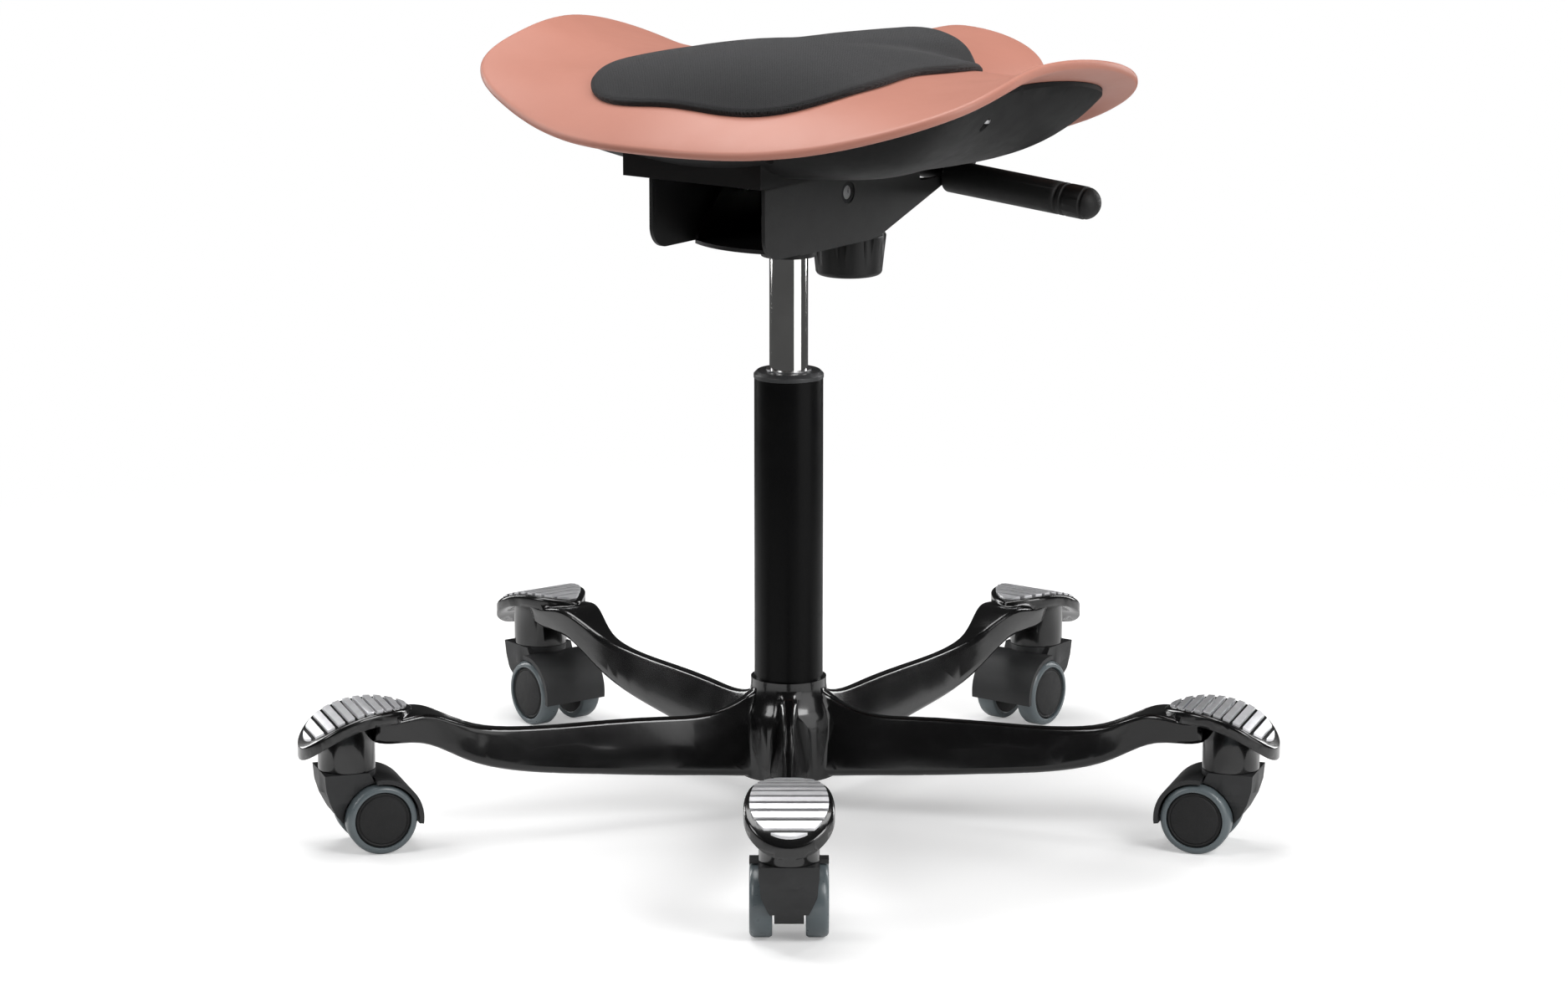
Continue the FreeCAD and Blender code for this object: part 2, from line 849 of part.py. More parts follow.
def makeGrip():
    radius = size("grip_radius")
    length = size("grip_length")
    grooveDepth = size("grip_groove")
    along = leverDirection()
    start = leverCorner() + along * (size("grip_start") - size("lever_side"))
    handle = Part.makeCylinder(radius, length - radius, start, along)
    edges = [edge for edge in handle.Edges
             if (edge.BoundBox.Center - start).Length < 0.1 and len(edge.Vertexes) == 1]
    handle = handle.makeFillet(2.5, edges)
    handle = handle.fuse(Part.makeSphere(radius, start + along * (length - radius)))
    bore = Part.makeCylinder(size("lever_bar") + size("fit_gap"), size("lever_bar_reach"),
                             start - along * 1, along)
    cuts = [bore]
    for index in range(grooveCount):
        place = start + along * (length - radius - index * size("grip_groove_pitch") + 2)
        cuts.append(Part.makeTorus(radius + 0.5, grooveDepth + 0.5, place, along))
    return handle.cut(cuts)


def makeKnob():
    x = size("knob_forward")
    bottom = size("knob_bottom")
    top = bottom + size("knob_height")
    foot = size("knob_foot_radius")
    rim = size("knob_radius")
    dome = size("knob_dome")
    corners = [Vector(x, 0, bottom), Vector(x + foot - 4, 0, bottom + 1),
               Vector(x + foot, 0, bottom + dome + 2), Vector(x + rim, 0, top - 2),
               Vector(x + rim - 2, 0, top), Vector(x, 0, top)]
    edges = [Part.LineSegment(corners[0], corners[1]).toShape(),
             Part.Arc(corners[1], Vector(x + foot - 1, 0, bottom + 2.2), corners[2]).toShape(),
             Part.LineSegment(corners[2], corners[3]).toShape(),
             Part.Arc(corners[3], Vector(x + rim - 0.6, 0, top - 0.6), corners[4]).toShape(),
             Part.LineSegment(corners[4], corners[5]).toShape(),
             Part.LineSegment(corners[5], corners[0]).toShape()]
    axis = Vector(0, 0, 1)
    knob = Part.Face(Part.Wire(edges)).revolve(Vector(x, 0, 0), axis, 360)
    flutes = []
    for index in range(fluteCount):
        turn = 2 * math.pi * (index + 0.5) / fluteCount
        reach = rim + size("knob_flute") * 0.6
        flutes.append(Part.makeCylinder(size("knob_flute"), size("knob_height") + 2, Vector(
            x + reach * math.cos(turn), reach * math.sin(turn), bottom - 1)))
    shoulder = Part.makeCylinder(size("knob_shoulder"), size("knob_shoulder_height"),
                                 Vector(x, 0, top))
    bolt = Part.makeCylinder(size("tension_bolt"), size("tension_bolt_top") - top,
                             Vector(x, 0, top))
    return knob.cut(flutes).fuse([shoulder, bolt]).removeSplitter()


# Arc from start to end that touches both legs to the corner

def arcUnder(start, corner, end):
    middle = (start + end) / 2
    halfChord = (end - start).Length / 2
    height = (corner - middle).Length
    sagitta = halfChord * math.tan(math.atan2(height, halfChord) / 2)
    return Part.Arc(start, middle + (corner - middle) * (sagitta / height), end).toShape()


# Two arcs that leave start and reach end along the given directions

def twoArcs(start, startWay, end, endWay):
    chord = end - start
    ways = startWay + endWay
    bend = 4 - ways.dot(ways)
    along = chord.dot(ways)
    leg = (-along + math.sqrt(along ** 2 + bend * chord.dot(chord))) / bend
    first = start + startWay * leg
    second = end - endWay * leg
    middle = (first + second) / 2
    return [arcUnder(start, first, middle), arcUnder(middle, second, end)]


def makeSpring():
    wire = size("spring_wire")
    radius = size("spring_radius")
    start = size("cup_top") + size("face_gap") + wire
    rise = size("plate_bottom") - size("face_gap") - wire - start
    halfTurns = round(2 * rise / size("spring_pitch"))
    climb = rise / halfTurns / math.pi
    points = []
    ways = []
    for index in range(halfTurns + 1):
        turn = math.pi * index
        points.append(Vector(size("knob_forward") + radius * math.cos(turn),
                             radius * math.sin(turn), start + climb * turn))
        ways.append(Vector(-radius * math.sin(turn), radius * math.cos(turn), climb).normalize())
    edges = []
    for index in range(halfTurns):
        edges += twoArcs(points[index], ways[index], points[index + 1], ways[index + 1])
    section = Part.Wire(Part.makeCircle(wire, points[0], ways[0]))
    least = min((points[index + 2] - points[index]).Length for index in range(halfTurns - 1))
    print("spring: least gap between turns %.2f" % (least - 2 * wire))
    return Part.Wire(edges).makePipeShell([section], True, False)


def makeTensionPlate():
    x = size("knob_forward")
    half = size("plate_length") / 2
    wide = size("plate_width") / 2
    plate = box(x - half, x + half, -wide, wide, size("plate_bottom"),
                size("plate_bottom") + size("plate_thickness"))
    upEdges = [edge for edge in plate.Edges if edge.BoundBox.ZLength > 1]
    plate = plate.makeFillet(3, upEdges)
    return plate.cut(Part.makeCylinder(size("tension_bolt") + size("fit_gap"), 60,
                                       Vector(x, 0, size("plate_bottom") - 20)))


# Leg pieces, drawn along +X

def armSection(name):
    out = size("arm_%s_out" % name)
    top = size("arm_%s_top" % name)
    bottom = size("arm_%s_bottom" % name)
    topHalf = size("arm_%s_top_width" % name) / 2
    bottomHalf = size("arm_%s_bottom_width" % name) / 2
    corners = [Vector(out, -bottomHalf, bottom), Vector(out, bottomHalf, bottom),
               Vector(out, topHalf, top), Vector(out, -topHalf, top)]
    low = size("arm_bottom_round")
    high = size("arm_top_round")
    return roundedWire(corners, [low, low, high, high])


def footCurve(rise):
    points = []
    for name, out, height in footTop:
        points.append(Vector(size("foot_%s_out" % name), 0, size("foot_%s_height" % name) + rise))
    curve = Part.BSplineCurve()
    curve.interpolate(points)
    return curve


# Slice between two shifted copies of the foot's top line, across the whole foot

def footLayer(low, high, half):
    lower = footCurve(low)
    upper = footCurve(high)
    left = Part.LineSegment(lower.StartPoint, upper.StartPoint).toShape()
    right = Part.LineSegment(upper.EndPoint, lower.EndPoint).toShape()
    wire = Part.Wire([lower.toShape(), right, upper.toShape(), left])
    layer = Part.Face(wire).extrude(Vector(0, 2 * half, 0))
    layer.translate(Vector(0, -half, 0))
    return layer


def footOutline(inset):
    places = [(size("plan_%s_out" % name), size("plan_%s_half" % name))
              for name, out, half in footPlan]
    middle = (places[0][0] + places[-1][0]) / 2
    span = (places[-1][0] - places[0][0]) / 2
    widest = max(half for out, half in places)
    lengthShare = (span - inset) / span
    widthShare = (widest - inset) / widest
    right = [(middle + (out - middle) * lengthShare, half * widthShare) for out, half in places]
    left = [(out, -half) for out, half in right[-2:0:-1]]
    return right + left


def makeLeg():
    wires = [armSection(station[0]) for station in armStations]
    arm = Part.makeLoft(wires, True, False)
    wide = size("plan_ball_half") + 3
    foot = footLayer(-size("foot_thickness"), 0, wide)
    foot = foot.common(upright(footOutline(0), 0, highest))
    foot = foot.makeFillet(size("foot_round"), rimEdges(foot, 4 * size("plan_ball_half"))[:1])
    column = Part.makeCylinder(size("boss_outer"), 60,
                               Vector(size("stem_circle"), 0, size("boss_bottom")))
    column = column.common(footLayer(-70, -3, wide))
    leg = arm.fuse([foot, column])
    socket = Part.makeCylinder(size("stem_radius") + size("fit_gap"),
                               size("socket_depth") + 5,
                               Vector(size("stem_circle"), 0, size("boss_bottom") - 5))
    return leg.cut(socket)


def makeHub():
    outer = size("hub_radius")
    bottom = size("hub_bottom")
    shoulder = size("hub_shoulder")
    top = size("hub_top")
    bore = size("tube_radius") + size("fit_gap")
    lip = bore + size("hub_lip")
    foot = size("hub_foot_radius")
    bend = Vector((outer + lip) / 2 - 1.8, 0, (shoulder + top) / 2 - 1)
    edges = [Part.LineSegment(Vector(bore, 0, bottom), Vector(foot, 0, bottom)).toShape(),
             Part.LineSegment(Vector(foot, 0, bottom), Vector(outer, 0, shoulder)).toShape(),
             Part.Arc(Vector(outer, 0, shoulder), bend, Vector(lip, 0, top)).toShape(),
             Part.LineSegment(Vector(lip, 0, top), Vector(bore, 0, top)).toShape(),
             Part.LineSegment(Vector(bore, 0, top), Vector(bore, 0, bottom)).toShape()]
    return Part.Face(Part.Wire(edges)).revolve(Vector(0, 0, 0), Vector(0, 0, 1), 360)


def legAngle(index):
    return 360.0 / legCount * index - 90


def legTurn(index):
    return Placement(Vector(0, 0, 0), Rotation(Vector(0, 0, 1), legAngle(index)))


def aroundLegs(shape):
    copies = []
    for index in range(legCount):
        copy = shape.copy()
        copy.Placement = legTurn(index)
        copies.append(copy)
    return copies


def makeBase():
    base = makeHub().multiFuse(aroundLegs(makeLeg()))
    bore = Part.makeCylinder(size("tube_radius") + size("fit_gap"), 200)
    return base.cut(bore)


def makeRibs():
    wide = size("plan_ball_half") + 3
    layer = footLayer(size("fit_gap"), size("rib_height"), wide)
    layer = layer.common(upright(footOutline(size("rib_inset")), 0, highest))
    bars = []
    for index in range(ribCount):
        start = size("rib_first") + index * size("rib_pitch") - size("rib_width") / 2
        bars.append(box(start, start + size("rib_width"), -wide, wide, 0, highest))
    ribs = [layer.common(bar) for bar in bars]
    return Part.makeCompound(aroundLegs(Part.makeCompound(ribs)))


def makeHousing():
    stem = size("stem_circle")
    axle = stem - size("trail")
    level = size("wheel_radius")
    top = size("boss_bottom") - size("housing_gap")
    cupRadius = size("boss_outer")
    cup = Part.makeCylinder(cupRadius, size("cup_height"),
                            Vector(stem, 0, top - size("cup_height")))
    side = [(stem + cupRadius, top), (stem + cupRadius - 1, top - 11.5),
            (stem + cupRadius - 4, top - 21.5), (stem + cupRadius - 9, top - 31.5),
            (stem - 1.5, level - 12), (axle - 4, level - 13), (axle - 13, level - 2),
            (axle - 12, level + 12), (axle + 4, top - 8), (stem - 12, top)]
    shield = sideSlab(side, [0, 10, 10, 10, 6, 6, 5, 5, 5, 0], cupRadius + 1)
    front = [Vector(0, -cupRadius, top), Vector(0, -cupRadius + 1.5, top - 22),
             Vector(0, -10, level - 11), Vector(0, 10, level - 11),
             Vector(0, cupRadius - 1.5, top - 22), Vector(0, cupRadius, top)]
    frontSlab = prism(front, [0, 14, 8, 8, 14, 0], Vector(stem + 60, 0, 0))
    shield = shield.common(frontSlab)
    web = sideSlab(side, [0, 10, 10, 10, 6, 6, 5, 5, 5, 0], size("web_half"))
    clear = level + size("wheel_gap")
    outer = clear + size("fender_thickness")
    centre = Vector(axle, -size("fender_half"), level)
    across = Vector(0, 1, 0)
    fender = Part.makeCylinder(outer, 2 * size("fender_half"), centre, across)
    fender = fender.cut(Part.makeCylinder(clear, 2 * size("fender_half"), centre, across))
    keep = sideSlab([(axle + 4, level), (axle + 4, level + 60), (axle - 60, level + 60),
                     (axle - 60, level - 9)], [0, 0, 0, 0], size("fender_half") + 1)
    bridge = box(axle - clear - 2, axle, -size("web_half"), size("web_half"), level, level + 28)
    disc = Part.makeCylinder(clear + 1, 2 * size("web_half"),
                             Vector(axle, -size("web_half"), level), across)
    housing = cup.fuse([shield, web, fender.common(keep), bridge.common(disc)])
    gap = size("fit_gap")
    cuts = [Part.makeCylinder(size("stem_radius") + gap, 60,
                              Vector(stem, 0, top - size("stem_in_housing"))),
            Part.makeCylinder(size("axle_radius") + gap, 80, Vector(axle, -40, level), across)]
    for start in (size("web_half"), -size("web_half") - 40):
        cuts.append(Part.makeCylinder(clear, 40, Vector(axle, start, level), across))
    return housing.cut(cuts).removeSplitter()


# Seat, pad and tray

formed("seat_shell", makeShell(), seatTurn)
formed("seat_pad", makePad(), seatTurn)
formed("under_tray", makeTray(), seatTurn)
formed("tray_screws", makeScrews(), seatTurn)
formed("seat_bracket", makeBracket(), seatTurn)
formed("bracket_bolts", makeBolts(), seatTurn)
formed("tilt_bushes", makeBushes(), seatTurn)
formed("tilt_lock_loop", makeLoop(), seatTurn)

# Mechanism on top of the gas cylinder

formed("lower_channel", makeChannel(), seatTurn)
formed("tilt_pins", makePivotPins(), seatTurn)
formed("height_lever", makeLever(), seatTurn)
formed("lever_grip", makeGrip(), seatTurn)
formed("tension_knob", makeKnob(), seatTurn)
formed("tension_spring", makeSpring(), seatTurn)
formed("tension_plate", makeTensionPlate(), seatTurn)

turned("cone_socket", [
    ("cylinder_radius + fit_gap", "socket_bottom"),
    ("socket_radius", "socket_bottom"),
    ("socket_radius", "cylinder_top"),
    ("cylinder_radius - cylinder_taper + fit_gap", "cylinder_top")], seatTurn)

turned("gas_cylinder", [
    ("rod_radius + fit_gap", "cylinder_bottom"),
    ("cylinder_radius", "cylinder_bottom"),
    ("cylinder_radius", "socket_bottom"),
    ("cylinder_radius - cylinder_taper", "cylinder_top"),
    ("valve_radius + fit_gap", "cylinder_top"),
    ("valve_radius + fit_gap", "cylinder_top - cylinder_end"),
    ("cylinder_radius - cylinder_wall", "cylinder_top - cylinder_end"),
    ("cylinder_radius - cylinder_wall", "cylinder_bottom + cylinder_end"),
    ("rod_radius + fit_gap", "cylinder_bottom + cylinder_end")], seatTurn)

turned("release_pin", [
    ("0", "cylinder_top - cylinder_end - valve_inside"),
    ("valve_radius", "cylinder_top - cylinder_end - valve_inside"),
    ("valve_radius", "cylinder_top + valve_proud"),
    ("0", "cylinder_top + valve_proud")], seatTurn)

# Column

bearingTop = "tube_bottom + tube_floor + bearing_washer + bearing_room + bearing_washer"
collarFoot = bearingTop + " + bearing_gap"
turned("piston_rod", [
    ("0", "rod_bottom"),
    ("rod_clip", "rod_bottom"),
    ("rod_clip", "rod_bottom + rod_clip_height"),
    ("rod_radius", "rod_bottom + rod_clip_height"),
    ("rod_radius", collarFoot),
    ("rod_collar", collarFoot),
    ("rod_collar", collarFoot + " + rod_collar_height"),
    ("rod_radius", collarFoot + " + rod_collar_height"),
    ("rod_radius", "rod_top - piston_height"),
    ("cylinder_radius - cylinder_wall - piston_gap", "rod_top - piston_height"),
    ("cylinder_radius - cylinder_wall - piston_gap", "rod_top"),
    ("0", "rod_top")])

turned("column_tube", [
    ("rod_radius + face_gap", "tube_bottom"),
    ("tube_radius", "tube_bottom"),
    ("tube_radius", "tube_top"),
    ("tube_radius - tube_wall", "tube_top"),
    ("tube_radius - tube_wall", "tube_bottom + tube_floor"),
    ("rod_radius + face_gap", "tube_bottom + tube_floor")])

turned("guide_bush", [
    ("cylinder_radius + fit_gap", "tube_top - guide_length"),
    ("tube_radius - tube_wall - fit_gap", "tube_top - guide_length"),
    ("tube_radius - tube_wall - fit_gap", "tube_top"),
    ("guide_lip", "tube_top"),
    ("guide_lip", "tube_top + guide_lip_height"),
    ("cylinder_radius + fit_gap", "tube_top + guide_lip_height")])

turned("column_collar", [
    ("guide_lip + fit_gap", "tube_top"),
    ("collar_radius", "tube_top"),
    ("collar_radius", "tube_top + collar_height - collar_bevel"),
    ("collar_radius - collar_bevel", "tube_top + collar_height"),
    ("guide_lip + fit_gap", "tube_top + collar_height")])


def makeBearing():
    bottom = size("tube_bottom") + size("tube_floor")
    washer = size("bearing_washer")
    hole = size("rod_radius") + size("face_gap")
    outer = size("bearing_radius")
    ballRoom = size("bearing_room")
    pieces = []
    for start in (bottom, bottom + washer + ballRoom):
        ring = Part.makeCylinder(outer, washer, Vector(0, 0, start))
        pieces.append(ring.cut(Part.makeCylinder(hole, washer, Vector(0, 0, start))))
    for index in range(ballCount):
        turn = 2 * math.pi * index / ballCount
        place = Vector(size("ball_circle") * math.cos(turn), size("ball_circle") * math.sin(turn),
                       bottom + washer + ballRoom / 2)
        pieces.append(Part.makeSphere(size("ball_radius"), place))
    return Part.makeCompound(pieces)


formed("thrust_bearing", makeBearing())
formed("star_base", makeBase())
formed("foot_ribs", makeRibs())

# Casters: wheels are turned about Z and laid over onto the axle

housing = makeHousing()
for number in range(legCount):
    name = "caster_%d" % (number + 1)
    turn = legTurn(number)
    stemFoot = Placement(Vector(size("stem_circle"), 0, 0), Rotation())
    axleCentre = Vector(size("stem_circle") - size("trail"), 0, size("wheel_radius"))
    formed(name + "_housing", housing, turn)
    turned(name + "_stem", [
        ("0", "boss_bottom - housing_gap - stem_in_housing"),
        ("stem_radius", "boss_bottom - housing_gap - stem_in_housing"),
        ("stem_radius", "boss_bottom + stem_in_base"),
        ("0", "boss_bottom + stem_in_base")], turn.multiply(stemFoot))
    layDown = Placement(axleCentre - Vector(0, size("axle_half"), 0),
                        Rotation(Vector(1, 0, 0), -90))
    turned(name + "_axle", [
        ("0", "0"),
        ("axle_radius", "0"),
        ("axle_radius", "axle_half + axle_half"),
        ("0", "axle_half + axle_half")], turn.multiply(layDown))
    for side, tip in (("left", -90), ("right", 90)):
        outward = Placement(axleCentre, Rotation(Vector(1, 0, 0), tip))
        turned("%s_wheel_%s" % (name, side), [
            ("axle_radius + fit_gap", "wheel_inner_face"),
            ("wheel_radius - tread_depth", "wheel_inner_face"),
            ("wheel_radius - tread_depth", "wheel_outer_face - 2.2"),
            ("wheel_radius - tread_depth - 1.6", "wheel_outer_face - 1"),
            ("wheel_radius - tread_depth - 2.6", "wheel_outer_face - 1.8"),
            ("wheel_radius - tread_depth - 3.4", "wheel_outer_face - 0.8"),
            ("0", "wheel_outer_face - 0.2"),
            ("0", "axle_half + face_gap"),
            ("axle_radius + fit_gap", "axle_half + face_gap")], turn.multiply(outward))
        turned("%s_tread_%s" % (name, side), [
            ("wheel_radius - tread_depth + fit_gap", "wheel_inner_face"),
            ("wheel_radius - 1.2", "wheel_inner_face"),
            ("wheel_radius", "wheel_inner_face + 2"),
            ("wheel_radius", "wheel_outer_face - 3.4"),
            ("wheel_radius - 1", "wheel_outer_face - 1.2"),
            ("wheel_radius - 2.8", "wheel_outer_face"),
            ("wheel_radius - tread_depth + fit_gap", "wheel_outer_face")],
            turn.multiply(outward))

doc.recompute()

subparts = [item for item in doc.Objects
            if item.isDerivedFrom("PartDesign::Body")
            or (item.TypeId == "Part::Feature" and not item.getParentGeoFeatureGroup())]
for item in doc.Objects:
    if "Invalid" in item.State or "Error" in item.State:
        raise RuntimeError("failed: " + item.Label)
for piece in subparts:
    if piece.Shape.isNull() or not piece.Shape.isValid():
        raise RuntimeError("bad shape: " + piece.Label)

os.makedirs("parts", exist_ok=True)
for piece in subparts:
    piece.Shape.exportStep("parts/%s.step" % piece.Label)
    print("%-24s solids %3d volume %10.0f" % (piece.Label, len(piece.Shape.Solids),
                                              piece.Shape.Volume))
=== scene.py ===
import json
import math

import bmesh
import bpy
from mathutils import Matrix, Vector
from mathutils.bvhtree import BVHTree


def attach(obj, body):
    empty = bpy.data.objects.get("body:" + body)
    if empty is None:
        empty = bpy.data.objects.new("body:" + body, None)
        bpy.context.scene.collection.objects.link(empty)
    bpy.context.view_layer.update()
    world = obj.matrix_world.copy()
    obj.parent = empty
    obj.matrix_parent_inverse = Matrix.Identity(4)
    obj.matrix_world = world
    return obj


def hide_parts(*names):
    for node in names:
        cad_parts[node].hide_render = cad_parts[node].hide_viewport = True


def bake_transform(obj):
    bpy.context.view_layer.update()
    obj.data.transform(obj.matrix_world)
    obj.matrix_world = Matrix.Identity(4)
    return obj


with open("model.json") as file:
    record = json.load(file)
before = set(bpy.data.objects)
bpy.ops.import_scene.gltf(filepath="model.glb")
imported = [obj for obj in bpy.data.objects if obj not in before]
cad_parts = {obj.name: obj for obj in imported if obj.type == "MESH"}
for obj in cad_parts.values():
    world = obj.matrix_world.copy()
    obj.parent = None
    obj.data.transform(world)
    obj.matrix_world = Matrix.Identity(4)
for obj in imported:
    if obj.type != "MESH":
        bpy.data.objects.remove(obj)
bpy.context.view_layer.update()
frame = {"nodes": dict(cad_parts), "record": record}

# Saddle stool: the looks. Metres, +Z up, the camera looks along +Y from the photograph's side.

nodes = frame["nodes"]
bodyOfNode = {node: body for body, members in frame["record"]["behaviour"]["bodies"].items()
              for node in members}
millimetre = 0.001
casterCount = 5
sides = ("left", "right")
mergeDistance = 2e-6
flatWithin = 0.6
noiseMiddle = (0.25, 0.75)
wavesPerUnit = 3.18


# Material building blocks: every pattern reads the piece's own Object coordinates or its UV map

def newFinish(name):
    material = bpy.data.materials.new(name)
    material.use_nodes = True
    tree = material.node_tree
    shader = tree.nodes["Principled BSDF"]
    return material, tree, shader


def addNode(tree, kind, **settings):
    node = tree.nodes.new(kind)
    for key, value in settings.items():
        if key in node.inputs:
            node.inputs[key].default_value = value
        else:
            setattr(node, key, value)
    return node


def placeOf(tree, stretch=(1, 1, 1), source="Object"):
    coordinates = tree.nodes.new("ShaderNodeTexCoord")
    mapping = tree.nodes.new("ShaderNodeMapping")
    mapping.inputs["Scale"].default_value = stretch
    tree.links.new(coordinates.outputs[source], mapping.inputs["Vector"])
    return mapping.outputs["Vector"]


# Noise whose largest features have the given size in metres
def noiseOf(tree, place, featureSize, detail=3.0, roughness=0.5):
    noise = addNode(tree, "ShaderNodeTexNoise", Detail=detail, Roughness=roughness)
    noise.inputs["Scale"].default_value = 1.0 / featureSize
    tree.links.new(place, noise.inputs["Vector"])
    return noise.outputs["Fac"]


def cellsOf(tree, place, featureSize):
    cells = addNode(tree, "ShaderNodeTexVoronoi", feature="F1")
    cells.inputs["Scale"].default_value = 1.0 / featureSize
    tree.links.new(place, cells.inputs["Vector"])
    return cells.outputs["Distance"]


def rangeOf(tree, value, low, high):
    span = addNode(tree, "ShaderNodeMapRange")
    span.inputs["From Min"].default_value = noiseMiddle[0]
    span.inputs["From Max"].default_value = noiseMiddle[1]
    span.inputs["To Min"].default_value = low
    span.inputs["To Max"].default_value = high
    tree.links.new(value, span.inputs["Value"])
    return span.outputs["Result"]


def colourBetween(tree, value, dark, light):
    mix = addNode(tree, "ShaderNodeMix", data_type="RGBA")
    mix.inputs[6].default_value = (*dark, 1)
    mix.inputs[7].default_value = (*light, 1)
    tree.links.new(value, mix.inputs["Factor"])
    return mix.outputs[2]


def bumpOf(tree, height, depth, strength=1.0, under=None):
    bump = addNode(tree, "ShaderNodeBump", Strength=strength, Distance=depth)
    tree.links.new(height, bump.inputs["Height"])
    if under is not None:
        tree.links.new(under, bump.inputs["Normal"])
    return bump.outputs["Normal"]


def shaded(colour, factor):
    return tuple(min(1.0, channel * factor) for channel in colour)


# Moulded plastic: fine spark-eroded grain, faint cloudy colour and uneven gloss
def mouldedPlastic(name, look):
    material, tree, shader = newFinish(name)
    place = placeOf(tree)
    clouds = noiseOf(tree, place, look["cloudSize"], 4)
    factor = rangeOf(tree, clouds, 0, 1)
    colour = colourBetween(tree, factor, shaded(look["colour"], 1 - look["variation"]),
                           shaded(look["colour"], 1 + look["variation"]))
    tree.links.new(colour, shader.inputs["Base Color"])
    patches = noiseOf(tree, place, look["cloudSize"] * 0.3, 5)
    gloss = rangeOf(tree, patches, look["roughness"] - 0.04, look["roughness"] + 0.05)
    tree.links.new(gloss, shader.inputs["Roughness"])
    grain = cellsOf(tree, place, look["grainSize"])
    fine = noiseOf(tree, place, look["grainSize"] * 0.6, 2)
    normal = bumpOf(tree, grain, look["grainDepth"])
    normal = bumpOf(tree, fine, look["grainDepth"] * 0.7, 1.0, normal)
    tree.links.new(normal, shader.inputs["Normal"])
    shader.inputs["Specular IOR Level"].default_value = look["specular"]
    shader.inputs["IOR"].default_value = 1.5
    shader.inputs["Sheen Weight"].default_value = look.get("sheen", 0)
    shader.inputs["Sheen Roughness"].default_value = 0.5
    return material


# Paint on metal: orange peel under a clear gloss, with a little dust in it
def paintedMetal(name, look):
    material, tree, shader = newFinish(name)
    place = placeOf(tree)
    clouds = noiseOf(tree, place, look["cloudSize"], 3)
    colour = colourBetween(tree, rangeOf(tree, clouds, 0, 1), shaded(look["colour"], 0.85),
                           shaded(look["colour"], 1.2))
    tree.links.new(colour, shader.inputs["Base Color"])
    gloss = rangeOf(tree, noiseOf(tree, place, look["cloudSize"] * 0.25, 5),
                    look["roughness"] - 0.03, look["roughness"] + 0.05)
    tree.links.new(gloss, shader.inputs["Roughness"])
    peel = noiseOf(tree, place, look["peelSize"], 1.5)
    specks = cellsOf(tree, place, look["peelSize"] * 0.35)
    normal = bumpOf(tree, peel, look["peelDepth"])
    normal = bumpOf(tree, specks, look["peelDepth"] * 0.25, 1.0, normal)
    tree.links.new(normal, shader.inputs["Normal"])
    shader.inputs["Specular IOR Level"].default_value = look["specular"]
    shader.inputs["Coat Weight"].default_value = look["coat"]
    shader.inputs["Coat Roughness"].default_value = look["coatRoughness"]
    shader.inputs["Coat IOR"].default_value = 1.45
    return material


# Bare metal: brush strokes along one axis, with faint stains in its gloss
def bareMetal(name, look):
    material, tree, shader = newFinish(name)
    strokes = noiseOf(tree, placeOf(tree, look["stretch"]), look["strokeSize"], 4, 0.65)
    place = placeOf(tree)
    stains = noiseOf(tree, place, look["stainSize"], 5)
    colour = colourBetween(tree, rangeOf(tree, stains, 0, 1), shaded(look["colour"], 0.9),
                           shaded(look["colour"], 1.06))
    tree.links.new(colour, shader.inputs["Base Color"])
    gloss = rangeOf(tree, strokes, look["roughness"] * 0.8, look["roughness"] * 1.3)
    tree.links.new(gloss, shader.inputs["Roughness"])
    normal = bumpOf(tree, strokes, look["strokeDepth"])
    tree.links.new(normal, shader.inputs["Normal"])
    shader.inputs["Metallic"].default_value = 1.0
    shader.inputs["Anisotropic"].default_value = look.get("anisotropic", 0)
    return material


